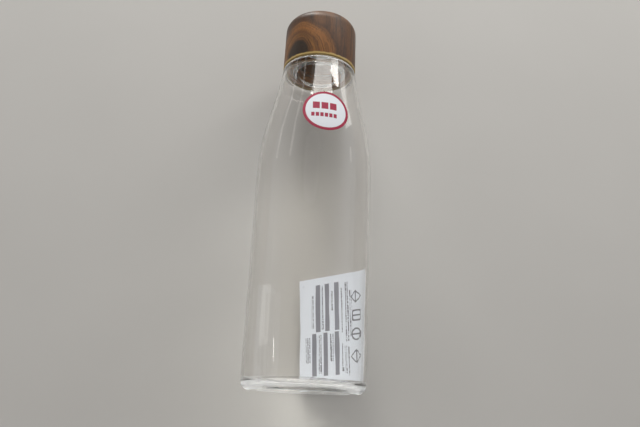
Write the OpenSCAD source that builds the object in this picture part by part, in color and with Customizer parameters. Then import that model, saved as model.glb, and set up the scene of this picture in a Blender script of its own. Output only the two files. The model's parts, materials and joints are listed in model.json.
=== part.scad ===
// Glass water bottle with a screw cap. The bottle stands upright with +Z up. The origin is the
// centre of the ring that it stands on, and the price sticker faces the front, -Y.

/* [Glass body] */
// Outside diameter of the straight barrel
body_d = 65; // [63:0.5:67]
// Height of the ledge that the cap comes down to
ledge_z = 186; // [182:1:190]
// Height where the barrel starts to curve in to the shoulder
shoulder_z = 116; // [112:1:118]
// Steepest lean of the shoulder from the vertical, in degrees
shoulder_lean = 14.5; // [14:0.25:15.5]
// Lean of the glass just under the ledge, in degrees
neck_lean = 7.8; // [7:0.2:9]
// Thickness of the barrel and shoulder
wall = 1.5; // [1.3:0.1:1.8]
// Thickness of the base at the push-up
base_t = 3.5; // [3:0.25:4.5]
// Height of the push-up under the base
push_up = 4; // [3:0.25:5]
// Outside radius of the heel
heel_r = 4.5; // [3.5:0.25:5]
// Inside radius of the push-up, where the standing ring starts
push_up_r = 24; // [22:0.5:25]

/* [Neck finish] */
// Radius of the bore through the neck
bore_r = 13; // [12.6:0.1:13.2]
// Thickness of the neck
neck_wall = 2.5; // [2.3:0.1:2.6]
// Height of the neck above the ledge
neck_h = 14; // [13.5:0.5:15]

/* [Thread] */
// Rise of the thread in one turn
pitch = 4; // [3.6:0.1:4.4]
// Turns on the glass, and on the cap
turns = 1.25; // [1:0.25:1.25]
// How far a thread stands out of its wall
thread_h = 1.2; // [1:0.1:1.3]
// Gap between a thread's crest and the wall it faces
thread_gap = 0.35; // [0.3:0.05:0.45]

/* [Cap] */
// Diameter of the cap at its lower edge
cap_d = 43.4; // [43:0.1:44]
// Height of the cap
cap_h = 33; // [31:0.5:35]
// Radius of the cap's rounded top edge
cap_edge_r = 7; // [5:0.5:8]
// How much smaller the radius is at the top than at the lower edge
cap_draft = 0.3; // [0.1:0.1:0.5]
// Thickness of the outer shell
shell_t = 1.8; // [1.5:0.1:2]
// Gap between the cap's lower edge and the ledge of the glass
cap_gap = 0.4; // [0.2:0.1:0.6]

/* [Sealing ring] */
// Thickness of the silicone ring
seal_t = 1.6; // [1.2:0.1:2]
// How far the ring reaches past the neck
seal_lip = 0.7; // [0.4:0.1:1]

/* [Sticker and card] */
// Diameter of the round price sticker
sticker_d = 26; // [20:1:28]
// Height of the sticker's centre
sticker_z = 146.7; // [142:0.5:148]
// Angle of the sticker from the front, towards +X, in degrees
sticker_turn = 10; // [-30:1:60]
// Width of the product card along its curve
card_w = 50; // [48:1:56]
// Height of the product card
card_h = 60; // [40:1:62]
// Width of the card's flat part, before it bends to follow the glass
card_flat = 41; // [38:0.5:42]
// Place of the card's back edge, as an angle from +X towards +Y, in degrees
card_back = 100; // [96:1:104]
// Angle between the card's flat part and the X axis, in degrees
card_turn = 35; // [32:1:36]
// Lean of the card, in degrees
card_lean = 4; // [0:0.5:5]

/* [Hidden] */
$fn = 96;

// Points along an arc, from angle a0 to angle a1.
function arc(c, r, a0, a1, n) =
    [for (i = [0:n]) let (a = a0 + (a1 - a0) * i / n) [c[0] + r * cos(a), c[1] + r * sin(a)]];

body_r = body_d / 2;
cap_r = cap_d / 2;
// The glass under the ledge is flush with the cap.
collar_r = cap_r - 0.1;

// The shoulder is two arcs: one bulges out of the barrel, the other sweeps up into the collar.
ledge_edge_r = 1;
collar_z = ledge_z - ledge_edge_r * (1 - sin(neck_lean));
shoulder_rise = collar_z - shoulder_z;
sweep_slope = tan((shoulder_lean + neck_lean) / 2);
bulge_slope = tan(shoulder_lean / 2);
bulge_rise = (shoulder_rise * sweep_slope - (body_r - collar_r)) / (sweep_slope - bulge_slope);
bulge_r = bulge_rise / sin(shoulder_lean);
sweep_r = (shoulder_rise - bulge_rise) / (sin(shoulder_lean) - sin(neck_lean));
bulge_c = [body_r - bulge_r, shoulder_z];
sweep_c = [collar_r + sweep_r * cos(neck_lean), collar_z + sweep_r * sin(neck_lean)];
bulge_steps = 14;
sweep_steps = 10;

// The shoulder up to where the glass leans by top_lean, moved out by off, or in when off is negative.
function shoulder(off, top_lean = neck_lean) = concat(
    arc(bulge_c, bulge_r + off, 0, shoulder_lean, bulge_steps),
    arc(sweep_c, sweep_r - off, 180 + shoulder_lean, 180 + top_lean, sweep_steps)
);

// The base: a domed push-up inside a flat standing ring, and the floor follows the dome.
dome_r = (push_up_r * push_up_r + push_up * push_up) / (2 * push_up);
dome_c = [0, push_up - dome_r];
floor_r = dome_r + base_t;
corner_r = 3.5;
inside_r = body_r - wall;
corner_c = [inside_r - corner_r,
            dome_c[1] + sqrt(pow(floor_r + corner_r, 2) - pow(inside_r - corner_r, 2))];
corner_turn = atan2(corner_c[1] - dome_c[1], corner_c[0]);

// The neck finish stands on the ledge.
ledge_t = 2.6;
neck_r = bore_r + neck_wall;
mouth_z = ledge_z + neck_h;
lip_r = 0.8;
root_r = 0.8;
throat_r = 1.5;
throat_z = ledge_z - ledge_t;

// Under the ledge a round joins the inner wall, and touches it at the lean under_lean.
under_r = 2.5;
under_c = [sweep_c[0] - sqrt(pow(sweep_r + wall + under_r, 2) - pow(sweep_c[1] - throat_z + under_r, 2)),
           throat_z - under_r];
under_lean = atan2(sweep_c[1] - under_c[1], sweep_c[0] - under_c[0]);
inner_shoulder = shoulder(-wall, under_lean);

// The thread on the glass, and the one on the liner half a pitch below it.
thread_root_w = 2.1;
thread_crest_w = 0.9;
thread_buried = 0.4;
thread_step = 10;
thread_fade = 40;
glass_thread_z = ledge_z + 5;
liner_thread_z = glass_thread_z - pitch / 2;
skirt_r = neck_r + thread_h + thread_gap;

// The cap, from its lower edge to its top.
cap_z = ledge_z + cap_gap;
cap_top_z = cap_z + cap_h;
cap_upper_r = cap_r - cap_draft;
cap_crown_r = 170;
cap_rim_r = 0.5;
shell_in_r = cap_upper_r - shell_t;
shell_roof_t = 2.2;
shell_roof_z = cap_top_z - shell_roof_t;
skirt_t = 1.5;
skirt_lead_in = 1.6;
flange_z = cap_z + 0.8;
flange_t = 2;
roof_z = mouth_z + seal_t;
roof_t = 1.8;
rib_count = 8;
rib_w = 1.2;
rib_overlap = 0.5;
rib_step = 1;

// The sealing ring sits round a boss under the liner's roof, which reaches a little below the ring.
seal_in_r = bore_r - 1.3;
seal_cut = 0.3;
boss_r = seal_in_r - 0.3;
boss_drop = seal_t + 0.4;

sticker_t = 0.15;
sticker_lean = 7.5;

// The card springs against the inside of the barrel. Its back edge touches the glass, a flat part
// crosses to the other side, and a bend leads into a strip that lies along the glass.
card_t = 0.3;
card_r = inside_r - 0.1;
card_lift = 1;
card_floor_z = corner_c[1] - corner_r + card_lift;
card_cols = 25;
card_rows = 6;
card_edge = card_r * [cos(card_back), sin(card_back)];
card_fold = card_edge + card_flat * [cos(card_turn), -sin(card_turn)];
bend_r = (card_r * card_r - card_fold * card_fold)
    / (2 * (card_r - card_fold * [sin(card_turn), cos(card_turn)]));
bend_c = card_fold - bend_r * [sin(card_turn), cos(card_turn)];
bend_end = atan2(bend_c[0], bend_c[1]);
bend_w = bend_r * (bend_end - card_turn) * PI / 180;

// Outline of the glass, from the middle of the underside round to the middle of the floor.
glass_outline = concat(
    arc(dome_c, dome_r, 90, acos(push_up_r / dome_r), 8),
    arc([body_r - heel_r, heel_r], heel_r, -90, 0, 10),
    shoulder(0),
    arc([collar_r - ledge_edge_r * cos(neck_lean), collar_z - ledge_edge_r * sin(neck_lean)],
        ledge_edge_r, neck_lean, 90, 6),
    arc([neck_r + root_r, ledge_z + root_r], root_r, 270, 180, 6),
    arc([neck_r - lip_r, mouth_z - lip_r], lip_r, 0, 90, 6),
    arc([bore_r + lip_r, mouth_z - lip_r], lip_r, 90, 180, 6),
    arc([bore_r + throat_r, throat_z + throat_r], throat_r, 180, 270, 6),
    arc(under_c, under_r, 90, under_lean, 6),
    [for (i = [len(inner_shoulder) - 2:-1:0]) inner_shoulder[i]],
    arc(corner_c, corner_r, 0, corner_turn - 180, 8),
    arc(dome_c, floor_r, corner_turn, 90, 8)
);

// One screw thread. It is buried in the wall at wall_r and stands out to crest_r.
module thread(wall_r, crest_r, start_z) {
    out = crest_r > wall_r ? 1 : -1;
    buried_r = wall_r - out * thread_buried;
    steps = round(turns * 360 / thread_step);
    half_buried_r = wall_r - out * thread_buried / 2;
    function fade(a) = min(1, min(a, turns * 360 - a) / thread_fade);
    function section(a) =
        let (r = half_buried_r + (crest_r - half_buried_r) * fade(a), z = start_z + pitch * a / 360)
        [for (p = [[buried_r, -thread_root_w], [r, -thread_crest_w],
                   [r, thread_crest_w], [buried_r, thread_root_w]])
            [p[0] * cos(a), p[0] * sin(a), z + p[1] / 2]];
    points = [for (i = [0:steps]) each section(i * thread_step)];
    sides = [for (i = [0:steps - 1], k = [0:3])
        let (a = 4 * i + k, b = 4 * i + (k + 1) % 4) each [[a, b, b + 4], [a, b + 4, a + 4]]];
    last = 4 * steps;
    ends = [[3, 2, 1], [3, 1, 0], [last, last + 1, last + 2], [last, last + 2, last + 3]];
    faces = [for (f = concat(sides, ends)) out > 0 ? f : [f[2], f[1], f[0]]];
    polyhedron(points, faces);
}

// Blown glass: the barrel, shoulder, ledge and threaded neck in one piece.
module glass_body() {
    color([0.86, 0.92, 0.9, 0.4]) union() {
        rotate_extrude() polygon(glass_outline);
        thread(neck_r, neck_r + thread_h, glass_thread_z);
    }
}

// Outer shell of the cap, a deep cup with a rounded and slightly domed top.
module cap_shell() {
    edge_x = cap_upper_r - cap_edge_r;
    edge_z = cap_top_z - cap_crown_r + sqrt(pow(cap_crown_r - cap_edge_r, 2) - edge_x * edge_x);
    edge_turn = atan2(edge_z - cap_top_z + cap_crown_r, edge_x);
    in_edge_r = cap_edge_r - shell_t;
    color([0.36, 0.22, 0.13]) rotate_extrude() polygon(concat(
        arc([cap_r - cap_rim_r, cap_z + cap_rim_r], cap_rim_r, -90, 0, 4),
        arc([edge_x, edge_z], cap_edge_r, 0, edge_turn, 14),
        arc([0, cap_top_z - cap_crown_r], cap_crown_r, edge_turn, 90, 4),
        [[0, shell_roof_z]],
        arc([shell_in_r - in_edge_r, shell_roof_z - in_edge_r], in_edge_r, 90, 0, 8),
        [[shell_in_r, cap_z]]
    ));
}

// Threaded insert inside the cap: skirt, flange that closes the underside, roof, boss and ribs.
module cap_liner() {
    skirt_out_r = skirt_r + skirt_t;
    rib_z = flange_z + flange_t - rib_overlap;
    color([0.3, 0.2, 0.13]) union() {
        difference() {
            union() {
                translate([0, 0, flange_z]) cylinder(r = skirt_out_r, h = roof_z + roof_t - flange_z);
                translate([0, 0, flange_z]) cylinder(r = shell_in_r, h = flange_t);
                intersection() {
                    for (i = [0:rib_count - 1]) rotate([0, 0, i * 360 / rib_count])
                        translate([skirt_out_r - rib_overlap, -rib_w / 2, rib_z])
                            cube([shell_in_r, rib_w, roof_z + roof_t - rib_step - rib_z]);
                    translate([0, 0, flange_z]) cylinder(r = shell_in_r, h = cap_h);
                }
            }
            translate([0, 0, flange_z - 1]) cylinder(r = skirt_r, h = roof_z - flange_z + 1);
            translate([0, 0, flange_z - 1])
                cylinder(r1 = skirt_r + skirt_lead_in, r2 = skirt_r, h = skirt_lead_in);
        }
        translate([0, 0, roof_z - boss_drop]) cylinder(r = boss_r, h = boss_drop + roof_t / 2);
        thread(skirt_r, skirt_r - thread_h, liner_thread_z);
    }
}

// Flat silicone ring that the liner presses on the mouth of the glass.
module seal_ring() {
    seal_r = neck_r + seal_lip;
    color([0.88, 0.88, 0.84]) rotate_extrude() polygon([
        [seal_in_r + seal_cut, mouth_z], [seal_r - seal_cut, mouth_z], [seal_r, mouth_z + seal_cut],
        [seal_r, roof_z], [seal_in_r, roof_z], [seal_in_r, mouth_z + seal_cut]
    ]);
}

// Round sticker that follows the curve of the shoulder.
module price_sticker() {
    outer = shoulder(sticker_t);
    last = len(outer) - 1;
    color([0.95, 0.93, 0.95]) intersection() {
        rotate_extrude() polygon(concat(shoulder(0), [for (i = [last:-1:0]) outer[i]]));
        rotate([0, 0, sticker_turn]) translate([0, 0, sticker_z]) rotate([90 - sticker_lean, 0, 0])
            cylinder(r = sticker_d / 2, h = 2 * body_r);
    }
}

// Printed card inside the barrel: flat, then bent along the glass.
module info_card() {
    // How far the card has turned from the X axis at distance w from its back edge.
    function turned(w) =
        w < card_flat ? card_turn :
        w < card_flat + bend_w ? card_turn + (w - card_flat) / bend_r * 180 / PI :
        bend_end + (w - card_flat - bend_w) / card_r * 180 / PI;
    // The place in plan at distance w, moved in from the outer face by depth.
    function plan(w, depth) =
        let (out = [sin(turned(w)), cos(turned(w))])
        w < card_flat ? card_edge + w * [cos(card_turn), -sin(card_turn)] - depth * out :
        w < card_flat + bend_w ? bend_c + (bend_r - depth) * out :
        (card_r - depth) * out;
    // A point of the leaning card, u along its lower edge and v up its side.
    function spot(u, v, depth) =
        let (p = plan(u * cos(card_lean) + (card_h - v) * sin(card_lean), depth))
        [p[0], p[1], card_floor_z + u * sin(card_lean) + v * cos(card_lean)];
    function id(side, i, j) = (side * (card_cols + 1) + i) * (card_rows + 1) + j;
    points = [for (side = [0, 1], i = [0:card_cols], j = [0:card_rows])
        spot(card_w * i / card_cols, card_h * j / card_rows, side * card_t)];
    quads = concat(
        [for (i = [0:card_cols - 1], j = [0:card_rows - 1])
            each [[id(0, i, j), id(0, i, j + 1), id(0, i + 1, j + 1), id(0, i + 1, j)],
                  [id(1, i, j), id(1, i + 1, j), id(1, i + 1, j + 1), id(1, i, j + 1)]]],
        [for (i = [0:card_cols - 1])
            each [[id(0, i, 0), id(0, i + 1, 0), id(1, i + 1, 0), id(1, i, 0)],
                  [id(0, i, card_rows), id(1, i, card_rows),
                   id(1, i + 1, card_rows), id(0, i + 1, card_rows)]]],
        [for (j = [0:card_rows - 1])
            each [[id(0, 0, j), id(1, 0, j), id(1, 0, j + 1), id(0, 0, j + 1)],
                  [id(0, card_cols, j), id(0, card_cols, j + 1),
                   id(1, card_cols, j + 1), id(1, card_cols, j)]]]
    );
    faces = [for (q = quads) each [[q[2], q[1], q[0]], [q[3], q[2], q[0]]]];
    color([0.87, 0.88, 0.92]) polyhedron(points, faces);
}

glass_body();
cap_shell();
cap_liner();
seal_ring();
price_sticker();
info_card();
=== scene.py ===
import json
import math
import bpy
from mathutils import Matrix, Vector

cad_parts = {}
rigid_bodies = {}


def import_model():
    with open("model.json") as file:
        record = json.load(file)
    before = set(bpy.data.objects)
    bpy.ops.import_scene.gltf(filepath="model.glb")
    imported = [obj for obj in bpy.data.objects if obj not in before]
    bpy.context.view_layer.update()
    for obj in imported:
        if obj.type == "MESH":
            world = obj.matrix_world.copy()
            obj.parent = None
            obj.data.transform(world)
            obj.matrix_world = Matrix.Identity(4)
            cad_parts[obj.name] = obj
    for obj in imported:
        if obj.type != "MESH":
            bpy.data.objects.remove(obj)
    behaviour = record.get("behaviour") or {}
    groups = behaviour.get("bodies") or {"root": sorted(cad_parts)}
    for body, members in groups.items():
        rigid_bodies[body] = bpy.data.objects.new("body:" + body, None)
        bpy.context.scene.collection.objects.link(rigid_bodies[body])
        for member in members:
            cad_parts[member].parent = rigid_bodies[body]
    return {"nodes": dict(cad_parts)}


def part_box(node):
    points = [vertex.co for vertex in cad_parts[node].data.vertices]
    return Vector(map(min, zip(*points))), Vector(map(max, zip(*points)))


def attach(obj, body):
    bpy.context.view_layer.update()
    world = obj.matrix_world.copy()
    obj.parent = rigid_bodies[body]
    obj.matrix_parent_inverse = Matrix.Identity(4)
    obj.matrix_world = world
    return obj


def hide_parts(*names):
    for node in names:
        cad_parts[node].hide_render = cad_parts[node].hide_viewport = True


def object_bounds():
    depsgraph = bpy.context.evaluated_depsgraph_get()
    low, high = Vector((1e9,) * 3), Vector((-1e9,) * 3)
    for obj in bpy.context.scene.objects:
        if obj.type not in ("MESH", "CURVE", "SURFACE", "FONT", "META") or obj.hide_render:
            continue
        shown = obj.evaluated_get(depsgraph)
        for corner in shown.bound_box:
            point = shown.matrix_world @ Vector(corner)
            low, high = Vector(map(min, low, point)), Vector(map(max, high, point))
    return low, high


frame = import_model()
cadLow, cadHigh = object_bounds()
print("frame loaded:", ", ".join(sorted(frame["nodes"])))

mm = 0.001
weldDistance = 0.002 * mm  # points closer than this are one point
turnedSmooth, sheetSmooth, linerSmooth = 35, 40, 30  # edges flatter than this, in degrees, look round
textureUnits = 1 / mm  # Object coordinates are in metres, and patterns are drawn in mm


# helpers shared by the pieces

def linearColour(hexText, alpha=1.0):
    # an sRGB hex value as the linear colour that a shader socket takes
    parts = [int(hexText[i:i + 2], 16) / 255 for i in (1, 3, 5)]
    return tuple(c / 12.92 if c <= 0.04045 else ((c + 0.055) / 1.055) ** 2.4 for c in parts) + (alpha,)


def addNode(nodeTree, nodeType, settings=None, inputs=None):
    # one node, with its settings and with each input either linked or given a value
    node = nodeTree.nodes.new(nodeType)
    for name, value in (settings or {}).items():
        setattr(node, name, value)
    for key, value in (inputs or {}).items():
        if isinstance(value, bpy.types.NodeSocket):
            nodeTree.links.new(value, node.inputs[key])
        else:
            node.inputs[key].default_value = value
    return node


def setRamp(node, stops):
    ramp = node.color_ramp
    while len(ramp.elements) < len(stops):
        ramp.elements.new(0.5)
    for element, (position, colour) in zip(ramp.elements, stops):
        element.position, element.color = position, linearColour(colour)


def newMaterial(name):
    material = bpy.data.materials.new(name)
    material.use_nodes = True
    material.node_tree.nodes.clear()
    return material, material.node_tree


def arcPoints(centre, radius, startDegrees, endDegrees, steps):
    angles = [math.radians(startDegrees + (endDegrees - startDegrees) * i / steps) for i in range(steps + 1)]
    return [(centre[0] + radius * math.cos(a), centre[1] + radius * math.sin(a)) for a in angles]


def deselectAll():
    if bpy.context.object and bpy.context.object.mode != "OBJECT":
        bpy.ops.object.mode_set(mode="OBJECT")
    bpy.ops.object.select_all(action="DESELECT")


def drawOutline(name, outline):
    # one vertex, extruded from point to point along an outline of (radius, height) pairs
    deselectAll()
    bpy.ops.mesh.primitive_plane_add(size=mm, location=(0, 0, 0))
    piece = bpy.context.object
    piece.name = piece.data.name = name
    bpy.ops.object.mode_set(mode="EDIT")
    bpy.ops.mesh.select_all(action="SELECT")
    bpy.ops.mesh.merge(type="CENTER")
    last = (0.0, 0.0)
    for index, (x, z) in enumerate(outline):
        step = (x - last[0], 0.0, z - last[1])
        if index == 0:
            bpy.ops.transform.translate(value=step)
        else:
            bpy.ops.mesh.extrude_region_move(TRANSFORM_OT_translate={"value": step})
        last = (x, z)
    return piece


def smoothFaces(degrees):
    bpy.ops.object.shade_smooth_by_angle(angle=math.radians(degrees))


def spinPiece(name, outline, steps, closed=False):
    # a turned shape; a closed outline is a ring, and an open one starts and ends on the axis
    piece = drawOutline(name, outline)
    bpy.ops.mesh.select_all(action="SELECT")
    if closed:
        bpy.ops.mesh.remove_doubles(threshold=weldDistance)
    bpy.ops.mesh.spin(steps=steps, angle=2 * math.pi, center=(0, 0, 0), axis=(0, 0, 1))
    bpy.ops.mesh.select_all(action="SELECT")
    bpy.ops.mesh.remove_doubles(threshold=weldDistance)
    bpy.ops.mesh.normals_make_consistent(inside=False)
    bpy.ops.object.mode_set(mode="OBJECT")
    smoothFaces(turnedSmooth)
    return piece


def applyModifier(piece, kind, settings):
    deselectAll()
    piece.select_set(True)
    bpy.context.view_layer.objects.active = piece
    modifier = piece.modifiers.new(kind.lower(), kind)
    for name, value in settings.items():
        setattr(modifier, name, value)
    bpy.ops.object.modifier_apply(modifier=modifier.name)


# camera: low in front of the base, looking up along the bottle, a little tipped

cameraSettings = {
    "place": (2.4 * mm, -331.6 * mm, -10.9 * mm),
    "lookUp": 18.02,
    "turnRight": 0.36,
    "roll": 2.69,
    "lens": 34.9,
    "nearest": 10 * mm,
}


def placeCamera(settings):
    data = bpy.data.cameras.new("viewCamera")
    camera = bpy.data.objects.new("viewCamera", data)
    bpy.context.scene.collection.objects.link(camera)
    data.lens = settings["lens"]
    data.clip_start = settings["nearest"]
    turns = ((-settings["turnRight"], "Z"), (90 + settings["lookUp"], "X"), (settings["roll"], "Z"))
    for degrees, axis in turns:
        camera.matrix_world = camera.matrix_world @ Matrix.Rotation(math.radians(degrees), 4, axis)
    camera.location = settings["place"]
    bpy.context.scene.camera = camera


placeCamera(cameraSettings)

# glass body

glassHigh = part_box("glass_body")[1]
shellLow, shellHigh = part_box("cap_shell")

glassSize = {
    "bodyRadius": glassHigh.x,
    "mouth": glassHigh.z,
    "collarRadius": shellHigh.x - 0.1 * mm,
    "ledge": shellLow.z - 0.4 * mm,
    "shoulder": 116 * mm,
    "shoulderLean": 14.5,
    "neckLean": 7.8,
    "wall": 1.5 * mm,
    "baseThickness": 3.5 * mm,
    "pushUp": 4 * mm,
    "pushUpRadius": 24 * mm,
    "heelRadius": 4.5 * mm,
    "cornerRadius": 3.5 * mm,
    "boreRadius": 13 * mm,
    "neckWall": 2.5 * mm,
    "ledgeEdge": 1 * mm,
    "lipRadius": 0.8 * mm,
    "throatRadius": 1.5 * mm,
    "throatDepth": 2.6 * mm,
    "underRadius": 2.5 * mm,
    "threadPitch": 4 * mm,
    "threadTurns": 1.25,
    "threadHeight": 1.2 * mm,
    "threadLift": 5 * mm,
    "threadRootHalf": 1.05 * mm,
    "threadCrestHalf": 0.45 * mm,
    "threadBuried": 0.4 * mm,
    "threadFade": 40.0,
    "threadSteps": 60,
    "spinSteps": 144,
}


def shoulderShape(size):
    # two tangent arcs: one bulges out of the barrel, the other sweeps up into the collar
    lean, topLean = math.radians(size["shoulderLean"]), math.radians(size["neckLean"])
    collarHeight = size["ledge"] - size["ledgeEdge"] * (1 - math.sin(topLean))
    rise = collarHeight - size["shoulder"]
    sweepSlope, bulgeSlope = math.tan((lean + topLean) / 2), math.tan(lean / 2)
    bulgeRise = (rise * sweepSlope - (size["bodyRadius"] - size["collarRadius"])) / (sweepSlope - bulgeSlope)
    bulge = bulgeRise / math.sin(lean)
    sweep = (rise - bulgeRise) / (math.sin(lean) - math.sin(topLean))
    return {
        "collarHeight": collarHeight,
        "bulge": bulge,
        "bulgeCentre": (size["bodyRadius"] - bulge, size["shoulder"]),
        "sweep": sweep,
        "sweepCentre": (size["collarRadius"] + sweep * math.cos(topLean),
                        collarHeight + sweep * math.sin(topLean)),
    }


def shoulderArcs(size, shape, offset, topLean, steps=22):
    lean = size["shoulderLean"]
    return (arcPoints(shape["bulgeCentre"], shape["bulge"] + offset, 0, lean, steps)
            + arcPoints(shape["sweepCentre"], shape["sweep"] - offset, 180 + lean, 180 + topLean, steps)[1:])


def glassOutline(size, shape):
    dome = (size["pushUpRadius"] ** 2 + size["pushUp"] ** 2) / (2 * size["pushUp"])
    domeCentre = (0.0, size["pushUp"] - dome)
    floor = dome + size["baseThickness"]
    corner = size["cornerRadius"]
    cornerX = size["bodyRadius"] - size["wall"] - corner
    cornerCentre = (cornerX, domeCentre[1] + math.sqrt((floor + corner) ** 2 - cornerX ** 2))
    cornerTurn = math.degrees(math.atan2(cornerCentre[1] - domeCentre[1], cornerX))
    neck = size["boreRadius"] + size["neckWall"]
    lip, throat, under, edge = size["lipRadius"], size["throatRadius"], size["underRadius"], size["ledgeEdge"]
    throatHeight = size["ledge"] - size["throatDepth"]
    sweepCentre = shape["sweepCentre"]
    underHeight = throatHeight - under
    reach = shape["sweep"] + size["wall"] + under
    underCentre = (sweepCentre[0] - math.sqrt(reach ** 2 - (sweepCentre[1] - underHeight) ** 2), underHeight)
    underLean = math.degrees(math.atan2(sweepCentre[1] - underHeight, sweepCentre[0] - underCentre[0]))
    topLean = size["neckLean"]
    edgeCentre = (size["collarRadius"] - edge * math.cos(math.radians(topLean)),
                  shape["collarHeight"] - edge * math.sin(math.radians(topLean)))
    heel = size["heelRadius"]
    rimAngle = math.degrees(math.acos(size["pushUpRadius"] / dome))
    outer = (arcPoints(domeCentre, dome, 90, rimAngle, 10)
             + arcPoints((size["bodyRadius"] - heel, heel), heel, -90, 0, 12)
             + shoulderArcs(size, shape, 0.0, topLean)
             + arcPoints(edgeCentre, edge, topLean, 90, 6)[1:])
    finish = (arcPoints((neck + lip, size["ledge"] + lip), lip, 270, 180, 5)
              + arcPoints((neck - lip, size["mouth"] - lip), lip, 0, 90, 6)
              + arcPoints((size["boreRadius"] + lip, size["mouth"] - lip), lip, 90, 180, 6)
              + arcPoints((size["boreRadius"] + throat, throatHeight + throat), throat, 180, 270, 6))
    inner = (arcPoints(underCentre, under, 90, underLean, 8)
             + shoulderArcs(size, shape, -size["wall"], underLean)[::-1][1:]
             + arcPoints(cornerCentre, corner, 0, cornerTurn - 180, 10)
             + arcPoints(domeCentre, floor, cornerTurn, 90, 10)[1:])
    return outer + finish + inner


def makeThread(name, size):
    # a trapezium swept up a right-hand helix; both ends fade into the neck
    neck = size["boreRadius"] + size["neckWall"]
    buried, rootHalf, crestHalf = size["threadBuried"], size["threadRootHalf"], size["threadCrestHalf"]
    start = size["ledge"] + size["threadLift"]
    profile = [(neck - buried, start - rootHalf), (neck + size["threadHeight"], start - crestHalf),
               (neck + size["threadHeight"], start + crestHalf), (neck - buried, start + rootHalf)]
    piece = drawOutline(name, profile)
    bpy.ops.mesh.select_all(action="SELECT")
    bpy.ops.mesh.edge_face_add()
    bpy.ops.mesh.delete(type="ONLY_FACE")
    bpy.ops.object.mode_set(mode="OBJECT")
    steps = size["threadSteps"]
    turn = 2 * math.pi * size["threadTurns"]
    applyModifier(piece, "SCREW", {
        "angle": turn, "steps": steps, "render_steps": steps, "iterations": 1,
        "screw_offset": size["threadPitch"] * size["threadTurns"], "use_merge_vertices": False})
    fade = math.radians(size["threadFade"])
    pitch = size["threadPitch"] / (2 * math.pi)
    for vertex in piece.data.vertices:
        radius = math.hypot(vertex.co.x, vertex.co.y)
        if radius < neck:
            continue
        side = math.atan2(vertex.co.y, vertex.co.x) % (2 * math.pi)
        along = side + 2 * math.pi * round(((vertex.co.z - start) / pitch - side) / (2 * math.pi))
        share = min(1.0, max(0.0, min(along, turn - along) / fade))
        wanted = neck - buried / 2 + (size["threadHeight"] + buried / 2) * share
        vertex.co.x *= wanted / radius
        vertex.co.y *= wanted / radius
    deselectAll()
    piece.select_set(True)
    bpy.context.view_layer.objects.active = piece
    bpy.ops.object.mode_set(mode="EDIT")
    bpy.ops.mesh.select_mode(type="EDGE")
    bpy.ops.mesh.select_all(action="DESELECT")
    bpy.ops.mesh.select_non_manifold()
    bpy.ops.mesh.edge_face_add()
    bpy.ops.mesh.select_mode(type="VERT")
    bpy.ops.mesh.select_all(action="SELECT")
    bpy.ops.mesh.fill_holes(sides=4)
    bpy.ops.mesh.normals_make_consistent(inside=False)
    bpy.ops.object.mode_set(mode="OBJECT")
    return piece


glassShape = shoulderShape(glassSize)
bottleGlass = spinPiece("bottleGlass", glassOutline(glassSize, glassShape), glassSize["spinSteps"])
neckThread = makeThread("neckThread", glassSize)
applyModifier(bottleGlass, "BOOLEAN", {"operation": "UNION", "solver": "EXACT", "object": neckThread})
bpy.data.objects.remove(neckThread)
smoothFaces(turnedSmooth)
print("glass body:", len(bottleGlass.data.polygons), "faces")

# cap: shell, liner and sealing ring

capSize = {
    "radius": shellHigh.x,
    "upperRadius": shellHigh.x - 0.3 * mm,
    "low": shellLow.z,
    "top": shellHigh.z,
    "edgeRadius": 7 * mm,
    "crownRadius": 170 * mm,
    "rimRadius": 0.5 * mm,
    "wall": 1.8 * mm,
    "roof": 2.2 * mm,
    "mouthCut": 0.3 * mm,
    "spinSteps": 128,
}


def shellOutline(size):
    edge, crown = size["edgeRadius"], size["crownRadius"]
    edgeX = size["upperRadius"] - edge
    edgeZ = size["top"] - crown + math.sqrt((crown - edge) ** 2 - edgeX ** 2)
    turn = math.degrees(math.atan2(edgeZ - size["top"] + crown, edgeX))
    inside = size["upperRadius"] - size["wall"]
    insideEdge = edge - size["wall"]
    roof = size["top"] - size["roof"]
    rim = size["rimRadius"]
    under = [(0.0, roof)] + arcPoints((inside - insideEdge, roof - insideEdge), insideEdge, 90, 0, 10)
    lower = ([(inside, size["low"] + size["mouthCut"]), (inside + size["mouthCut"], size["low"])]
             + arcPoints((size["radius"] - rim, size["low"] + rim), rim, -90, 0, 6))
    upper = (arcPoints((edgeX, edgeZ), edge, 0, turn, 20)
             + arcPoints((0.0, size["top"] - crown), crown, turn, 90, 8)[1:])
    return under + lower + upper


capShell = spinPiece("capShell", shellOutline(capSize), capSize["spinSteps"])

sealLow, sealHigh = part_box("seal_ring")
sealSize = {
    "outer": sealHigh.x,
    "inner": 11.7 * mm,
    "low": sealLow.z,
    "top": sealHigh.z,
    "cut": 0.3 * mm,
    "spinSteps": 96,
}


def sealOutline(size):
    cut = size["cut"]
    lower = (arcPoints((size["outer"] - cut, size["low"] + cut), cut, 0, -90, 4)
             + arcPoints((size["inner"] + cut, size["low"] + cut), cut, -90, -180, 4))
    upper = (arcPoints((size["inner"] + cut, size["top"] - cut), cut, 180, 90, 4)
             + arcPoints((size["outer"] - cut, size["top"] - cut), cut, 90, 0, 4))
    ring = lower + upper
    return ring + [ring[0]]


sealRing = spinPiece("sealRing", sealOutline(sealSize), sealSize["spinSteps"], closed=True)


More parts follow.
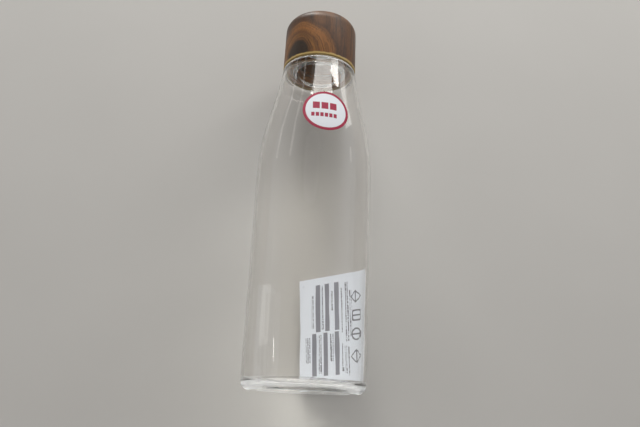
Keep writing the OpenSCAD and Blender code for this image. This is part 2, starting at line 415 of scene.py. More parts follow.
def copyNode(node, name, smoothDegrees):
    # the threaded insert keeps its exact CAD shape; the copy is merged and its round faces smoothed
    deselectAll()
    source = frame["nodes"][node]
    piece = source.copy()
    piece.data = source.data.copy()
    piece.name = piece.data.name = name
    piece.parent = None
    bpy.context.scene.collection.objects.link(piece)
    piece.select_set(True)
    bpy.context.view_layer.objects.active = piece
    bpy.ops.object.mode_set(mode="EDIT")
    bpy.ops.mesh.select_all(action="SELECT")
    bpy.ops.mesh.remove_doubles(threshold=weldDistance / 2)
    bpy.ops.object.mode_set(mode="OBJECT")
    smoothFaces(smoothDegrees)
    return piece


capLiner = copyNode("cap_liner", "capLiner", linerSmooth)
print("cap parts:", len(capShell.data.polygons), len(sealRing.data.polygons), len(capLiner.data.polygons))

# sticker on the shoulder

stickerSize = {
    "diameter": 26 * mm,
    "height": 146.7 * mm,
    "turn": 10.0,
    "thickness": 0.13 * mm,
    "lift": 0.02 * mm,
    "rings": 14,
    "sides": 96,
    "climbSteps": 8,
}


def addFlatUv(piece, flatPoints):
    # a UV map in millimetres on the sheet as it was printed, flat
    layer = piece.data.uv_layers.new(name="flatMm")
    for loop in piece.data.loops:
        layer.data[loop.index].uv = flatPoints[loop.vertex_index]


def shoulderRadius(size, shape, z):
    if z <= size["shoulder"]:
        return size["bodyRadius"], 0.0
    joint = size["shoulder"] + shape["bulge"] * math.sin(math.radians(size["shoulderLean"]))
    if z <= joint:
        lean = math.asin((z - size["shoulder"]) / shape["bulge"])
        return shape["bulgeCentre"][0] + shape["bulge"] * math.cos(lean), lean
    lean = math.asin((shape["sweepCentre"][1] - z) / shape["sweep"])
    return shape["sweepCentre"][0] - shape["sweep"] * math.cos(lean), lean


def makeSticker(size):
    deselectAll()
    radius = size["diameter"] / 2
    bpy.ops.mesh.primitive_circle_add(vertices=size["sides"], radius=radius, fill_type="NGON")
    piece = bpy.context.object
    piece.name = piece.data.name = "priceSticker"
    bpy.ops.object.mode_set(mode="EDIT")
    bpy.ops.mesh.select_all(action="SELECT")
    for _ in range(size["rings"] - 1):
        bpy.ops.mesh.inset(thickness=radius / size["rings"])
    bpy.ops.mesh.poke()
    bpy.ops.object.mode_set(mode="OBJECT")
    flat = [(v.co.x, v.co.y) for v in piece.data.vertices]
    addFlatUv(piece, [(x / mm, y / mm) for x, y in flat])
    middle = math.radians(size["turn"] - 90)
    lift = size["lift"]
    steps = size["climbSteps"]
    for vertex, (x, y) in zip(piece.data.vertices, flat):
        z = size["height"]
        for _ in range(steps):
            z += y / steps * math.cos(shoulderRadius(glassSize, glassShape, z)[1])
        ring, lean = shoulderRadius(glassSize, glassShape, z)
        side = middle + x / ring
        out = ring + lift * math.cos(lean)
        vertex.co = (out * math.cos(side), out * math.sin(side), z + lift * math.sin(lean))
    applyModifier(piece, "SOLIDIFY", {"thickness": size["thickness"], "offset": 1.0})
    smoothFaces(sheetSmooth)
    return piece


priceSticker = makeSticker(stickerSize)

# printed card inside the barrel: flat, then bent along the glass

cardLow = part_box("info_card")[0]
cardSize = {
    "width": 50 * mm,
    "height": 60 * mm,
    "flatPart": 41 * mm,
    "back": 100.0,
    "turn": 35.0,
    "lean": 4.0,
    "radius": glassSize["bodyRadius"] - glassSize["wall"] - 0.15 * mm,
    "lowest": cardLow.z,
    "thickness": 0.25 * mm,
    "columns": 72,
    "rows": 24,
}


def cardPath(size):
    # in plan: a flat part from the back edge, a bend, and a strip that lies along the glass
    back, turn, radius = math.radians(size["back"]), math.radians(size["turn"]), size["radius"]
    edge = Vector((radius * math.cos(back), radius * math.sin(back)))
    along = Vector((math.cos(turn), -math.sin(turn)))
    outward = Vector((math.sin(turn), math.cos(turn)))
    fold = edge + size["flatPart"] * along
    bend = (radius ** 2 - fold.length_squared) / (2 * (radius - fold.dot(outward)))
    centre = fold - bend * outward
    bendEnd = math.atan2(centre.x, centre.y)
    bendWidth = bend * (bendEnd - turn)

    def place(width):
        if width < size["flatPart"]:
            return edge + width * along
        if width < size["flatPart"] + bendWidth:
            angle = turn + (width - size["flatPart"]) / bend
            return centre + bend * Vector((math.sin(angle), math.cos(angle)))
        angle = bendEnd + (width - size["flatPart"] - bendWidth) / radius
        return radius * Vector((math.sin(angle), math.cos(angle)))

    return place


def makeCard(size):
    deselectAll()
    bpy.ops.mesh.primitive_grid_add(x_subdivisions=size["columns"], y_subdivisions=size["rows"], size=1)
    piece = bpy.context.object
    piece.name = piece.data.name = "productCard"
    lean = math.radians(size["lean"])
    flat = [((v.co.x + 0.5) * size["width"], (v.co.y + 0.5) * size["height"]) for v in piece.data.vertices]
    addFlatUv(piece, [(x / mm, y / mm) for x, y in flat])
    place = cardPath(size)
    for vertex, (x, y) in zip(piece.data.vertices, flat):
        spot = place(x * math.cos(lean) + (size["height"] - y) * math.sin(lean))
        vertex.co = (spot.x, spot.y, size["lowest"] + x * math.sin(lean) + y * math.cos(lean))
    applyModifier(piece, "SOLIDIFY", {"thickness": size["thickness"], "offset": 1.0})
    smoothFaces(sheetSmooth)
    return piece


productCard = makeCard(cardSize)
print("sticker and card made")


# materials

glassFinish = {
    "waveSize": 6 * mm,
    "waveStretch": (1.0, 1.0, 0.12),
    "waveStrength": 0.22,
    "waveDepth": 0.25 * mm,
}


def clearGlass(finish):
    # soda-lime glass, blown and fire polished: colourless, with sharp reflections. Faint waves, drawn out along
    # the height, break the highlights up
    material, tree = newMaterial("clearSodaLimeGlass")
    place = addNode(tree, "ShaderNodeTexCoord").outputs["Object"]
    drawn = addNode(tree, "ShaderNodeVectorMath", {"operation": "MULTIPLY"},
                    {0: place, 1: finish["waveStretch"]})
    waves = addNode(tree, "ShaderNodeTexNoise", inputs={
        "Vector": drawn.outputs[0], "Scale": 1 / finish["waveSize"], "Detail": 2.0})
    wavy = addNode(tree, "ShaderNodeBump", inputs={
        "Height": waves.outputs["Fac"], "Strength": finish["waveStrength"], "Distance": finish["waveDepth"]})
    glass = addNode(tree, "ShaderNodeBsdfPrincipled", inputs={
        "Base Color": linearColour("#F8F7F6"), "Roughness": 0.0, "IOR": 1.5,
        "Transmission Weight": 1.0, "Normal": wavy.outputs["Normal"]})
    clear = addNode(tree, "ShaderNodeBsdfTransparent", inputs={"Color": linearColour("#FAFAF9")})
    ray = addNode(tree, "ShaderNodeLightPath")
    mix = addNode(tree, "ShaderNodeMixShader", inputs={
        0: ray.outputs["Is Shadow Ray"], 1: glass.outputs[0], 2: clear.outputs[0]})
    addNode(tree, "ShaderNodeOutputMaterial", inputs={"Surface": mix.outputs[0]})
    return material


woodFinish = {
    "knotTurn": -37.0,
    "knotHeight": 189.0,
    "knotDepth": 21.5,
    "knotSqueeze": (1.08, 0.36, 1.0),
    "wobble": 4.5,
    "wobbleScale": 0.09,  # each scale is one over a size in mm, here 11 mm
    "lineScale": 1.25,  # fine ring lines, 0.8 mm apart
    "grainScale": 0.42,  # straight grain, 2.4 mm wide: coarser than walnut's, so that it shows
    "poreScale": 2.4,  # pores, 0.4 mm wide
    "raggedScale": 0.45,  # the print's lower border, 2.2 mm
    "band": 20.0,
    "bandBlend": (0.5, 4.5),
    "ringReach": 32.0,
    "ringAxis": (46.0, 31.0, 0.0),
    "bareRim": (1.9, 2.5),
    "raggedness": 1.8,
    "poreDepth": 0.05 * mm,
}


def woodGrain(finish):
    # moulded shell with a walnut grain printed on it under satin lacquer, which gives soft broad highlights: a
    # dark heart with fine rings and a broad golden arch round it, and elsewhere straight dark grain with fine
    # pores. The print stops short of the rim. Lengths in woodFinish are in mm, apart from poreDepth
    material, tree = newMaterial("walnutPrintedShell")
    place = addNode(tree, "ShaderNodeTexCoord").outputs["Object"]
    inMm = addNode(tree, "ShaderNodeVectorMath", {"operation": "SCALE"},
                   {0: place, "Scale": textureUnits}).outputs[0]
    wobble = addNode(tree, "ShaderNodeTexNoise", inputs={
        "Vector": inMm, "Scale": finish["wobbleScale"], "Detail": 3.0})
    centred = addNode(tree, "ShaderNodeVectorMath", {"operation": "SUBTRACT"},
                      {0: wobble.outputs["Color"], 1: (0.5, 0.5, 0.5)})
    bent = addNode(tree, "ShaderNodeVectorMath", {"operation": "SCALE"},
                   {0: centred.outputs[0], "Scale": finish["wobble"]})
    moved = addNode(tree, "ShaderNodeVectorMath", {"operation": "ADD"},
                    {0: inMm, 1: bent.outputs[0]}).outputs[0]

    # distance from the heart, which sits on the rim at the front left
    turn = math.radians(finish["knotTurn"])
    knot = (finish["knotDepth"] * math.sin(turn), -finish["knotDepth"] * math.cos(turn), finish["knotHeight"])
    local = addNode(tree, "ShaderNodeMapping", {"vector_type": "TEXTURE"}, {
        "Vector": moved, "Location": knot, "Rotation": (0.0, 0.0, turn)})
    squeezed = addNode(tree, "ShaderNodeVectorMath", {"operation": "MULTIPLY"},
                       {0: local.outputs[0], 1: finish["knotSqueeze"]})
    heart = addNode(tree, "ShaderNodeVectorMath", {"operation": "LENGTH"},
                    {0: squeezed.outputs[0]}).outputs["Value"]

    # fine lines that follow the rings, and broad soft bands
    alongRings = addNode(tree, "ShaderNodeVectorMath", {"operation": "SCALE"}, {0: moved, "Scale": 0.05})
    ringPlace = addNode(tree, "ShaderNodeCombineXYZ", inputs={0: heart})
    ringCoords = addNode(tree, "ShaderNodeVectorMath", {"operation": "ADD"},
                         {0: ringPlace.outputs[0], 1: alongRings.outputs[0]})
    ringLines = addNode(tree, "ShaderNodeTexNoise", inputs={
        "Vector": ringCoords.outputs[0], "Scale": finish["lineScale"], "Detail": 4.0,
        "Roughness": 0.65}).outputs["Fac"]
    ringShare = addNode(tree, "ShaderNodeMapRange", inputs={"Value": heart, "From Max": finish["ringReach"]})
    bandTone = addNode(tree, "ShaderNodeValToRGB", inputs={0: ringShare.outputs[0]})
    setRamp(bandTone, (
        (0.0, "#28170C"), (0.22, "#32200A"), (0.28, "#66401A"), (0.37, "#875824"), (0.42, "#673F18"),
        (0.46, "#80511F"), (0.60, "#825323"), (0.66, "#533214"), (0.74, "#482A12"), (1.0, "#4B2E16")))
    lineShade = addNode(tree, "ShaderNodeMapRange", inputs={
        "Value": ringLines, "From Min": 0.32, "From Max": 0.68, "To Min": 0.45, "To Max": 1.5})
    figure = addNode(tree, "ShaderNodeMix", {"data_type": "RGBA", "blend_type": "MULTIPLY"}, {
        0: 1.0, 6: bandTone.outputs[0], 7: lineShade.outputs[0]})

    # straight grain: rings about an axis far outside the cap, cut lengthwise on the sides
    flattened = addNode(tree, "ShaderNodeVectorMath", {"operation": "MULTIPLY"},
                        {0: moved, 1: (1.0, 1.0, 0.03)})
    fromAxis = addNode(tree, "ShaderNodeVectorMath", {"operation": "DISTANCE"},
                       {0: flattened.outputs[0], 1: finish["ringAxis"]}).outputs["Value"]
    grainPlace = addNode(tree, "ShaderNodeCombineXYZ", inputs={0: fromAxis})
    grainCoords = addNode(tree, "ShaderNodeVectorMath", {"operation": "ADD"},
                          {0: grainPlace.outputs[0], 1: alongRings.outputs[0]})
    grain = addNode(tree, "ShaderNodeTexNoise", inputs={
        "Vector": grainCoords.outputs[0], "Scale": finish["grainScale"], "Detail": 5.0,
        "Roughness": 0.62}).outputs["Fac"]
    grainTone = addNode(tree, "ShaderNodeValToRGB", inputs={0: grain})
    setRamp(grainTone, (
        (0.30, "#29170C"), (0.44, "#442912"), (0.52, "#583617"), (0.60, "#6E441D"), (0.70, "#472A13")))

    blendFrom, blendTo = finish["bandBlend"]
    outside = addNode(tree, "ShaderNodeMapRange", {"interpolation_type": "SMOOTHSTEP"}, {
        "Value": heart, "From Min": finish["band"] + blendFrom, "From Max": finish["band"] + blendTo})
    grained = addNode(tree, "ShaderNodeMix", {"data_type": "RGBA"}, {
        0: outside.outputs[0], 6: figure.outputs[2], 7: grainTone.outputs[0]})
    porePlace = addNode(tree, "ShaderNodeVectorMath", {"operation": "MULTIPLY"},
                        {0: moved, 1: (1.0, 1.0, 0.14)})
    pores = addNode(tree, "ShaderNodeTexNoise", inputs={
        "Vector": porePlace.outputs[0], "Scale": finish["poreScale"], "Detail": 2.0}).outputs["Fac"]
    poreShade = addNode(tree, "ShaderNodeMapRange", inputs={
        "Value": pores, "From Min": 0.3, "From Max": 0.5, "To Min": 0.6, "To Max": 1.0}).outputs[0]
    printed = addNode(tree, "ShaderNodeMix", {"data_type": "RGBA", "blend_type": "MULTIPLY"}, {
        0: 1.0, 6: grained.outputs[2], 7: poreShade})

    # the bare golden edge, with a ragged upper border
    height = addNode(tree, "ShaderNodeSeparateXYZ", inputs={0: inMm}).outputs["Z"]
    raggedNoise = addNode(tree, "ShaderNodeTexNoise", inputs={
        "Vector": inMm, "Scale": finish["raggedScale"], "Detail": 2.0})
    ragged = addNode(tree, "ShaderNodeMath", {"operation": "MULTIPLY_ADD"},
                     {0: raggedNoise.outputs["Fac"], 1: finish["raggedness"], 2: height})
    rimStart = capSize["low"] / mm
    bareTo, printFrom = finish["bareRim"]
    bare = addNode(tree, "ShaderNodeMapRange", inputs={
        "Value": ragged.outputs[0], "From Min": rimStart + printFrom, "From Max": rimStart + bareTo})
    goldShade = addNode(tree, "ShaderNodeMix", {"data_type": "RGBA"}, {
        0: raggedNoise.outputs["Fac"], 6: linearColour("#B08A48"), 7: linearColour("#D6BE7C")})
    colour = addNode(tree, "ShaderNodeMix", {"data_type": "RGBA"}, {
        0: bare.outputs[0], 6: printed.outputs[2], 7: goldShade.outputs[2]})
    lacquer = addNode(tree, "ShaderNodeBump", inputs={
        "Height": poreShade, "Strength": 0.15, "Distance": finish["poreDepth"]})
    shader = addNode(tree, "ShaderNodeBsdfPrincipled", inputs={
        "Base Color": colour.outputs[2], "Roughness": 0.46, "IOR": 1.49, "Specular IOR Level": 0.4,
        "Coat Weight": 0.12, "Coat Roughness": 0.22, "Normal": lacquer.outputs["Normal"]})
    addNode(tree, "ShaderNodeOutputMaterial", inputs={"Surface": shader.outputs[0]})
    return material


def brownPlastic():
    # injection-moulded polypropylene in the print's base brown: satin, with a faint mould texture
    material, tree = newMaterial("brownPolypropylene")
    place = addNode(tree, "ShaderNodeTexCoord").outputs["Object"]
    grit = addNode(tree, "ShaderNodeTexNoise", inputs={
        "Vector": place, "Scale": 1 / (0.5 * mm), "Detail": 2.0})
    cloud = addNode(tree, "ShaderNodeTexNoise", inputs={"Vector": place, "Scale": 1 / (9 * mm)})
    colour = addNode(tree, "ShaderNodeMix", {"data_type": "RGBA"}, {
        0: cloud.outputs["Fac"], 6: linearColour("#9A5F10"), 7: linearColour("#B87A20")})
    gloss = addNode(tree, "ShaderNodeMapRange", inputs={
        "Value": grit.outputs["Fac"], "To Min": 0.38, "To Max": 0.52})
    bump = addNode(tree, "ShaderNodeBump", inputs={
        "Height": grit.outputs["Fac"], "Strength": 0.2, "Distance": 0.05 * mm})
    shader = addNode(tree, "ShaderNodeBsdfPrincipled", inputs={
        "Base Color": colour.outputs[2], "Roughness": gloss.outputs[0], "IOR": 1.49,
        "Normal": bump.outputs["Normal"]})
    addNode(tree, "ShaderNodeOutputMaterial", inputs={"Surface": shader.outputs[0]})
    return material


def milkySilicone():
    # cast silicone rubber: milky, soft sheen, lets some light into itself
    material, tree = newMaterial("milkySilicone")
    place = addNode(tree, "ShaderNodeTexCoord").outputs["Object"]
    cloud = addNode(tree, "ShaderNodeTexNoise", inputs={
        "Vector": place, "Scale": 1 / (3 * mm), "Detail": 2.0})
    colour = addNode(tree, "ShaderNodeMix", {"data_type": "RGBA"}, {
        0: cloud.outputs["Fac"], 6: linearColour("#D2D3CC"), 7: linearColour("#E6E6E0")})
    gloss = addNode(tree, "ShaderNodeMapRange", inputs={
        "Value": cloud.outputs["Fac"], "To Min": 0.4, "To Max": 0.55})
    shader = addNode(tree, "ShaderNodeBsdfPrincipled", inputs={
        "Base Color": colour.outputs[2], "Roughness": gloss.outputs[0], "IOR": 1.41,
        "Subsurface Weight": 0.3, "Subsurface Scale": 1 * mm})
    addNode(tree, "ShaderNodeOutputMaterial", inputs={"Surface": shader.outputs[0]})
    return material


def boxMask(tree, x, y, box):
    # 1 inside box = (left, right, low, high), in the flat millimetres of a sheet
    left, right, low, high = box
    across = addNode(tree, "ShaderNodeMath", {"operation": "COMPARE"},
                     {0: x, 1: (left + right) / 2, 2: (right - left) / 2}).outputs[0]
    along = addNode(tree, "ShaderNodeMath", {"operation": "COMPARE"},
                    {0: y, 1: (low + high) / 2, 2: (high - low) / 2}).outputs[0]
    return addNode(tree, "ShaderNodeMath", {"operation": "MULTIPLY"}, {0: across, 1: along}).outputs[0]


def everyMask(tree, x, start, pitch, width):
    # 1 on bars of that width that repeat from start
    share = addNode(tree, "ShaderNodeMath", {"operation": "MULTIPLY_ADD"},
                    {0: x, 1: 1 / pitch, 2: -start / pitch})
    part = addNode(tree, "ShaderNodeMath", {"operation": "FRACT"}, {0: share.outputs[0]})
    return addNode(tree, "ShaderNodeMath", {"operation": "LESS_THAN"},
                   {0: part.outputs[0], 1: width / pitch}).outputs[0]


def joinMasks(tree, operation, first, second):
    return addNode(tree, "ShaderNodeMath", {"operation": operation, "use_clamp": True},
                   {0: first, 1: second}).outputs[0]


stickerPrint = {  # mm on the flat sticker: left, right, low and high of a row, then its pitch and block width
    "ringFrom": 11.4,
    "upperRow": ((-7.4, 5.8, 0.6, 5.2), 4.7, 3.8),
    "lowerRow": ((-8.2, 6.4, -4.6, -2.0), 2.45, 1.8),
}


def rowMask(tree, x, y, row):
    # equal blocks that repeat from the left end of a row
    box, pitch, width = row
    return joinMasks(tree, "MULTIPLY", boxMask(tree, x, y, box), everyMask(tree, x, box[0], pitch, width))


def stickerPaper(design):
    # coated label paper, offset printed: a soft sheen, a magenta ring and plain blocks where a price would be.
    # The glued side is plain
    material, tree = newMaterial("coatedStickerPaper")
    flat = addNode(tree, "ShaderNodeUVMap", {"uv_map": "flatMm"}).outputs[0]
    sides = addNode(tree, "ShaderNodeSeparateXYZ", inputs={0: flat})
    x, y = sides.outputs["X"], sides.outputs["Y"]
    fromMiddle = addNode(tree, "ShaderNodeVectorMath", {"operation": "LENGTH"}, {0: flat}).outputs["Value"]
    ring = addNode(tree, "ShaderNodeMath", {"operation": "GREATER_THAN"},
                   {0: fromMiddle, 1: design["ringFrom"]}).outputs[0]
    blocks = joinMasks(tree, "ADD", rowMask(tree, x, y, design["upperRow"]),
                       rowMask(tree, x, y, design["lowerRow"]))
    normal = addNode(tree, "ShaderNodeTexCoord").outputs["Normal"]
    outward = addNode(tree, "ShaderNodeSeparateXYZ", inputs={0: normal})
    front = addNode(tree, "ShaderNodeMath", {"operation": "LESS_THAN"},
                    {0: outward.outputs["Y"], 1: 0.0}).outputs[0]
    ink = joinMasks(tree, "MULTIPLY", joinMasks(tree, "ADD", ring, blocks), front)
    fibre = addNode(tree, "ShaderNodeTexNoise", inputs={"Vector": flat, "Scale": 3.0, "Detail": 3.0})
    paper = addNode(tree, "ShaderNodeMix", {"data_type": "RGBA"}, {
        0: fibre.outputs["Fac"], 6: linearColour("#DADEE7"), 7: linearColour("#E4E8F0")})
    colour = addNode(tree, "ShaderNodeMix", {"data_type": "RGBA"}, {
        0: ink, 6: paper.outputs[2], 7: linearColour("#9A0038")})
    gloss = addNode(tree, "ShaderNodeMapRange", inputs={
        "Value": fibre.outputs["Fac"], "To Min": 0.5, "To Max": 0.65})
    shader = addNode(tree, "ShaderNodeBsdfPrincipled", inputs={
        "Base Color": colour.outputs[2], "Roughness": gloss.outputs[0], "IOR": 1.5,
        "Specular IOR Level": 0.35})
    addNode(tree, "ShaderNodeOutputMaterial", inputs={"Surface": shader.outputs[0]})
    return material


cardPrint = {  # in mm on the flat card, boxes as left, right, low, high, then a row's pitch and bar width
    "upperBars": ((11.5, 27.1, 28.8, 55.8), 6.3, 2.95),
    "lowerBars": ((8.7, 26.8, 4.6, 28.0), 7.6, 2.9),
    "text": (
        (8.5, 9.9, 31, 50), (15.0, 17.0, 30, 55), (21.6, 23.2, 40, 51), (28.4, 30.0, 27, 52),
        (31.0, 33.5, 22, 55), (4.4, 7.6, 12, 26), (12.4, 15.0, 6, 27), (20.4, 22.9, 12, 27),
        (28.4, 29.8, 6, 21), (32.2, 33.6, 4, 19), (24.6, 25.9, 30, 54), (30.4, 31.7, 5, 20),
        (34.2, 35.4, 24, 50), (2.4, 3.2, 55.6, 56.6)),
    "textStart": 0.1,
    "textPitch": 1.3,
    "textWidth": 0.72,
    # middle, reach and roundness of the four plain signs: 1 is a diamond, 2 a ring, 6 a square
    "signs": ((38.3, 46.0, 3.3, 1.0), (38.6, 35.6, 2.7, 6.0), (38.2, 25.4, 3.0, 2.0), (37.8, 13.6, 3.4, 1.0)),
    "signLineHalf": 0.42,
    "signStrokeHalf": 0.4,
}


def cardStock(design):
    # thin coated card, matt, printed in one cool grey: two rows of bars, rows of small dashes and a column of
    # plain signs. The side against the glass is blank
    material, tree = newMaterial("printedCardStock")
    flat = addNode(tree, "ShaderNodeUVMap", {"uv_map": "flatMm"}).outputs[0]
    sides = addNode(tree, "ShaderNodeSeparateXYZ", inputs={0: flat})
    x, y = sides.outputs["X"], sides.outputs["Y"]
    allBars = joinMasks(tree, "ADD", rowMask(tree, x, y, design["upperBars"]),
                        rowMask(tree, x, y, design["lowerBars"]))
    normal = addNode(tree, "ShaderNodeTexCoord").outputs["Normal"]
    outward = addNode(tree, "ShaderNodeVectorMath", {"operation": "DOT_PRODUCT"},
                      {0: normal, 1: (1.0, 1.0, 0.0)}).outputs["Value"]
    inside = addNode(tree, "ShaderNodeMath", {"operation": "LESS_THAN"}, {0: outward, 1: 0.0}).outputs[0]
    bars = joinMasks(tree, "MULTIPLY", allBars, inside)
    dashPlace = addNode(tree, "ShaderNodeVectorMath", {"operation": "MULTIPLY"},
                        {0: flat, 1: (0.8, 1.9, 0.0)})
    dashes = addNode(tree, "ShaderNodeTexNoise", inputs={
        "Vector": dashPlace.outputs[0], "Scale": 1.0, "Detail": 1.0})
    broken = addNode(tree, "ShaderNodeMath", {"operation": "GREATER_THAN"},
                     {0: dashes.outputs["Fac"], 1: 0.43}).outputs[0]
    textArea = boxMask(tree, x, y, design["text"][0])
    for block in design["text"][1:]:
        textArea = joinMasks(tree, "ADD", textArea, boxMask(tree, x, y, block))
    textLines = everyMask(tree, x, design["textStart"], design["textPitch"], design["textWidth"])
    small = joinMasks(tree, "MULTIPLY", joinMasks(tree, "MULTIPLY", textLines, broken), textArea)
    signs = None
    for middleX, middleY, reach, power in design["signs"]:
        across = addNode(tree, "ShaderNodeMath", {"operation": "SUBTRACT"}, {0: x, 1: middleX}).outputs[0]
        along = addNode(tree, "ShaderNodeMath", {"operation": "SUBTRACT"}, {0: y, 1: middleY}).outputs[0]
        parts = []
        for side in (across, along):
            size = addNode(tree, "ShaderNodeMath", {"operation": "ABSOLUTE"}, {0: side})
            raised = addNode(tree, "ShaderNodeMath", {"operation": "POWER"}, {0: size.outputs[0], 1: power})
            parts.append(raised.outputs[0])
        total = addNode(tree, "ShaderNodeMath", {"operation": "ADD"}, {0: parts[0], 1: parts[1]})
        distance = addNode(tree, "ShaderNodeMath", {"operation": "POWER"},
                           {0: total.outputs[0], 1: 1 / power}).outputs[0]
        outline = addNode(tree, "ShaderNodeMath", {"operation": "COMPARE"},
                          {0: distance, 1: reach, 2: design["signLineHalf"]}).outputs[0]
        inner = addNode(tree, "ShaderNodeMath", {"operation": "LESS_THAN"},
                        {0: distance, 1: reach}).outputs[0]
        stroke = addNode(tree, "ShaderNodeMath", {"operation": "COMPARE"},
                         {0: across if power < 2 else along, 1: 0.0, 2: design["signStrokeHalf"]}).outputs[0]
        sign = joinMasks(tree, "ADD", outline, joinMasks(tree, "MULTIPLY", stroke, inner))
        signs = sign if signs is None else joinMasks(tree, "ADD", signs, sign)
    fibre = addNode(tree, "ShaderNodeTexNoise", inputs={"Vector": flat, "Scale": 1.2, "Detail": 3.0})
    stock = addNode(tree, "ShaderNodeMix", {"data_type": "RGBA"}, {
        0: fibre.outputs["Fac"], 6: linearColour("#E2E9F4"), 7: linearColour("#ECF1FA")})
    fine = joinMasks(tree, "MULTIPLY", joinMasks(tree, "ADD", small, signs), inside)
    withSmall = addNode(tree, "ShaderNodeMix", {"data_type": "RGBA"}, {
        0: joinMasks(tree, "MULTIPLY", fine, 0.9),
        6: stock.outputs[2], 7: linearColour("#50515C")})
    colour = addNode(tree, "ShaderNodeMix", {"data_type": "RGBA"}, {
        0: bars, 6: withSmall.outputs[2], 7: linearColour("#8A8B95")})
    shader = addNode(tree, "ShaderNodeBsdfPrincipled", inputs={
        "Base Color": colour.outputs[2], "Roughness": 0.5, "IOR": 1.5})
    addNode(tree, "ShaderNodeOutputMaterial", inputs={"Surface": shader.outputs[0]})
    return material


finishes = (
    (bottleGlass, clearGlass(glassFinish), "bottle", "glass_body", "glass"),
    (capShell, woodGrain(woodFinish), "cap", "cap_shell", "wood_grain"),
    (capLiner, brownPlastic(), "cap", "cap_liner", "liner"),
    (sealRing, milkySilicone(), "seal", "seal_ring", "silicone"),
    (priceSticker, stickerPaper(stickerPrint), "bottle", "price_sticker", "sticker"),
    (productCard, cardStock(cardPrint), "bottle", "info_card", "card"),
)
for piece, material, body, node, slotName in finishes:
    piece.data.materials.clear()
    piece.data.materials.append(material)
    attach(piece, body)
    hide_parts(node)
    frame["nodes"][node].data.materials.clear()
    frame["nodes"][node].data.materials.append(material)
print("materials and bodies set")

# surroundings: a pale grey floor under the base and a paler upright surface close behind the bottle

stageSize = {
    "floor": 3.0,
    "gap": 1 * mm,
    "cloudSize": 80 * mm,
    "floorColours": ("#A3A5A8", "#A9ABAE"),
    "wallColours": ("#CAC9C7", "#D0CFCD"),
}


def paleSurface(name, colours, cloudSize):
    # matt laminate; each surface shows from its own front only, so that it hides nothing from behind or below
    material, tree = newMaterial(name)
    place = addNode(tree, "ShaderNodeTexCoord").outputs["Object"]
    cloud = addNode(tree, "ShaderNodeTexNoise", inputs={
        "Vector": place, "Scale": 1 / cloudSize, "Detail": 2.0})
    colour = addNode(tree, "ShaderNodeMix", {"data_type": "RGBA"}, {
        0: cloud.outputs["Fac"], 6: linearColour(colours[0]), 7: linearColour(colours[1])})
    matt = addNode(tree, "ShaderNodeBsdfPrincipled", inputs={
        "Base Color": colour.outputs[2], "Roughness": 0.75, "IOR": 1.45})
    nothing = addNode(tree, "ShaderNodeBsdfTransparent")
    side = addNode(tree, "ShaderNodeNewGeometry")
    mix = addNode(tree, "ShaderNodeMixShader", inputs={
        0: side.outputs["Backfacing"], 1: matt.outputs[0], 2: nothing.outputs[0]})
    addNode(tree, "ShaderNodeOutputMaterial", inputs={"Surface": mix.outputs[0]})
    return material


def makeStage(size):
    deselectAll()
    bpy.ops.mesh.primitive_plane_add(size=size["floor"], location=(0, 0, 0))
    floor = bpy.context.object
    floor.name = "paleFloor"
    deselectAll()
    bpy.ops.mesh.primitive_plane_add(size=size["floor"], rotation=(math.radians(90), 0, 0),
                                     location=(0, cadHigh.y + size["gap"], 0))
    wall = bpy.context.object
    wall.name = "paleBackdrop"
    for part, colours in ((floor, size["floorColours"]), (wall, size["wallColours"])):
        part.data.materials.append(paleSurface(part.name, colours, size["cloudSize"]))
        part.visible_diffuse = False  # light from one surface would draw a line on the other


def addLamp(name, place, target, size, power, colour):
    data = bpy.data.lights.new(name, "AREA")
    data.shape = "RECTANGLE"
    data.size, data.size_y = size
    data.energy = power
    data.color = linearColour(colour)[:3]
    lamp = bpy.data.objects.new(name, data)
    lamp.location = place
    lamp.rotation_euler = (Vector(target) - Vector(place)).to_track_quat("-Z", "Y").to_euler()
    bpy.context.scene.collection.objects.link(lamp)
    return lamp


def around(azimuth, elevation, distance, target):
    a, e = math.radians(azimuth), math.radians(elevation)
    return (target[0] + distance * math.sin(a) * math.cos(e),
            target[1] - distance * math.cos(a) * math.cos(e),
            target[2] + distance * math.sin(e))


makeStage(stageSize)
shoulderPoint = (0.0, 0.0, 0.15)
lampColour = "#FFFDF8"
lowLamp = 30  # a lamp at or below this elevation would show through the glass from the far side
lamps = {  # azimuth and elevation as seen from the bottle, distance, width and height, watts
    "highRightSoftbox": (24, 68, 2.2, 1.9, 0.6, 12.0),
    "highLeftSoftbox": (-64, 70, 1.7, 1.5, 0.4, 27.0),
    "broadWindow": (15, 51, 1.3, 0.84, 0.32, 4.2),
    "sideWindow": (-13, 53, 1.3, 0.34, 0.26, 0.1),
    "narrowWindow": (54, 46, 1.2, 0.36, 0.19, 2.0),
    "rightWindow": (88, 44, 1.2, 0.55, 0.24, 0.8),
    "leftStrip": (-50, 38, 1.1, 0.05, 0.6, 0.14),
    "farLeftStrip": (-81, 36, 0.9, 0.03, 0.45, 0.07),
    "rightStrip": (76, 25, 0.9, 0.05, 0.1, 0.03),
    "farRightStrip": (98, 24, 0.9, 0.16, 0.1, 0.1),
    "lowLeftPanel": (-84, 0, 1.0, 0.5, 0.14, 0.28),
    "lowLeftGlint": (-57, -5, 1.0, 0.012, 0.05, 0.07),
}
for lampName, (azimuth, elevation, distance, width, height, power) in lamps.items():
    lampPlace = around(azimuth, elevation, distance, shoulderPoint)
    lamp = addLamp(lampName, lampPlace, shoulderPoint, (width, height), power, lampColour)
    lamp.visible_transmission = elevation > lowLamp
    lamp.visible_camera = False

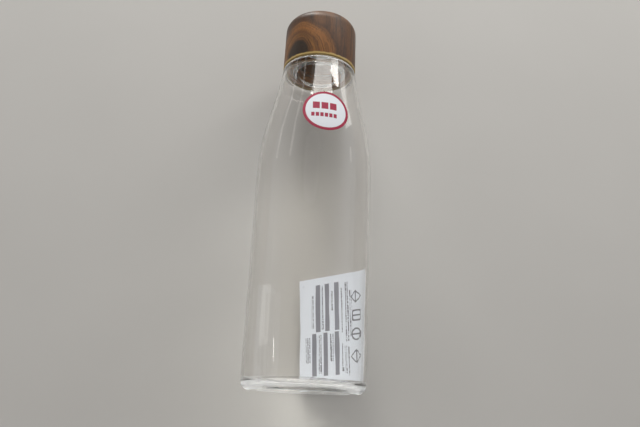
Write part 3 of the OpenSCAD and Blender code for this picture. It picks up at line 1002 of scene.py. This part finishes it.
room = {
    "lit": "#F0F1F2",
    "shaded": "#8E8A86",
    "low": "#A09D9B",
    "strength": 0.72,
    "shadedTurn": -12.0,
    "shadedLift": 30.0,
    "shadedFrom": 40.0,
    "shadedTo": 72.0,
    "lowFrom": 0.1,
    "lowTo": -0.2,
}
glassBounces = 24  # light crosses many glass faces


def roomLight(settings):
    # an evenly lit room, shaded high in front of the bottle and a little darker below the horizon
    world = bpy.data.worlds.new("softRoom")
    bpy.context.scene.world = world
    world.use_nodes = True
    tree = world.node_tree
    tree.nodes.clear()
    direction = addNode(tree, "ShaderNodeTexCoord").outputs["Generated"]
    towards = Vector(around(settings["shadedTurn"], settings["shadedLift"], 1.0, (0.0, 0.0, 0.0)))
    nearness = addNode(tree, "ShaderNodeVectorMath", {"operation": "DOT_PRODUCT"},
                       {0: direction, 1: tuple(towards)}).outputs["Value"]
    share = addNode(tree, "ShaderNodeMapRange", {"interpolation_type": "SMOOTHSTEP"}, {
        "Value": nearness, "From Min": math.cos(math.radians(settings["shadedTo"])),
        "From Max": math.cos(math.radians(settings["shadedFrom"]))})
    colour = addNode(tree, "ShaderNodeMix", {"data_type": "RGBA"}, {
        0: share.outputs[0], 6: linearColour(settings["lit"]), 7: linearColour(settings["shaded"])})
    rise = addNode(tree, "ShaderNodeSeparateXYZ", inputs={0: direction}).outputs["Z"]
    under = addNode(tree, "ShaderNodeMapRange", {"interpolation_type": "SMOOTHSTEP"}, {
        "Value": rise, "From Min": settings["lowFrom"], "From Max": settings["lowTo"]})
    shadedLow = addNode(tree, "ShaderNodeMix", {"data_type": "RGBA"}, {
        0: under.outputs[0], 6: colour.outputs[2], 7: linearColour(settings["low"])})
    glow = addNode(tree, "ShaderNodeBackground", inputs={
        "Color": shadedLow.outputs[2], "Strength": settings["strength"]})
    addNode(tree, "ShaderNodeOutputWorld", inputs={"Surface": glow.outputs[0]})


roomLight(room)
bpy.context.scene.view_settings.view_transform = "Standard"
for bounceKind in ("max_bounces", "transmission_bounces", "glossy_bounces", "transparent_max_bounces"):
    setattr(bpy.context.scene.cycles, bounceKind, glassBounces)
print("stage and lights set")
